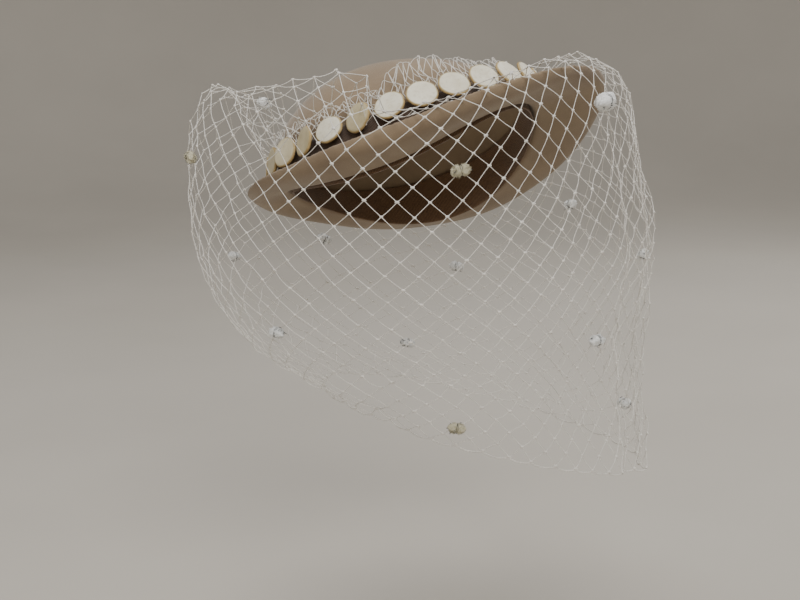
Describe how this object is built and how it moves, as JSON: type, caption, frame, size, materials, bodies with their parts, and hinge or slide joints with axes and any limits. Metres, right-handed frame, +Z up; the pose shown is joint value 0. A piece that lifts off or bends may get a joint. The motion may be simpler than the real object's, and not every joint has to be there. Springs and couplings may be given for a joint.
{
  "type": "veiled tilt hat",
  "caption": "Small taupe felt tilt hat as worn, with a ring of cream discs round the crown and an open, dotted net veil whose lower edge lifts.",
  "frame": {"origin": "centre of the hat's head opening, at the level of the brim's front and back tips before the hat is tipped", "axes": "worn pose: +Z up, -Y the way the wearer faces, +X the wearer's left; the hat is tipped front up and left side down, and the veil hangs along -Z"},
  "size_m": [0.2318, 0.2851, 0.2516],
  "materials": {
    "felt": "brushed fur felt",
    "brown_grosgrain": "ribbed ribbon",
    "disc_leather": "matt, with tan cut edges",
    "thread": "sewing thread",
    "net": "knotted thread",
    "chenille": "short pile"
  },
  "bodies": {
    "hat": {"felt_body": "felt", "crown_ribbon": "brown_grosgrain", "sweatband": "brown_grosgrain", "disc_01": "disc_leather", "disc_02": "disc_leather", "disc_03": "disc_leather", "disc_04": "disc_leather", "disc_05": "disc_leather", "disc_06": "disc_leather", "disc_07": "disc_leather", "disc_08": "disc_leather", "disc_09": "disc_leather", "disc_10": "disc_leather", "disc_11": "disc_leather", "disc_12": "disc_leather", "disc_13": "disc_leather", "disc_14": "disc_leather", "disc_15": "disc_leather", "disc_16": "disc_leather", "disc_17": "disc_leather", "disc_18": "disc_leather", "disc_19": "disc_leather", "disc_20": "disc_leather", "disc_21": "disc_leather", "disc_22": "disc_leather", "disc_23": "disc_leather", "disc_24": "disc_leather", "disc_25": "disc_leather", "disc_26": "disc_leather", "disc_27": "disc_leather", "disc_shanks": "thread", "veil_header": "net", "veil_tacks": "thread", "veil_net": "net", "tuft_01": "chenille", "tuft_02": "chenille", "tuft_03": "chenille", "tuft_04": "chenille", "tuft_05": "chenille", "tuft_06": "chenille", "tuft_07": "chenille", "tuft_08": "chenille", "tuft_09": "chenille", "tuft_10": "chenille", "tuft_11": "chenille", "tuft_12": "chenille"},
    "veil_edge": {"veil_hem": "net", "tuft_13": "chenille", "tuft_14": "chenille"}
  },
  "joints": [
    {"name": "veil_lift", "type": "slide", "parent": "hat", "child": "veil_edge", "axis": [0.1197, -0.1894, 0.9746], "range_m": [0, 0.09], "deforming": ["veil_net"]}
  ]
}
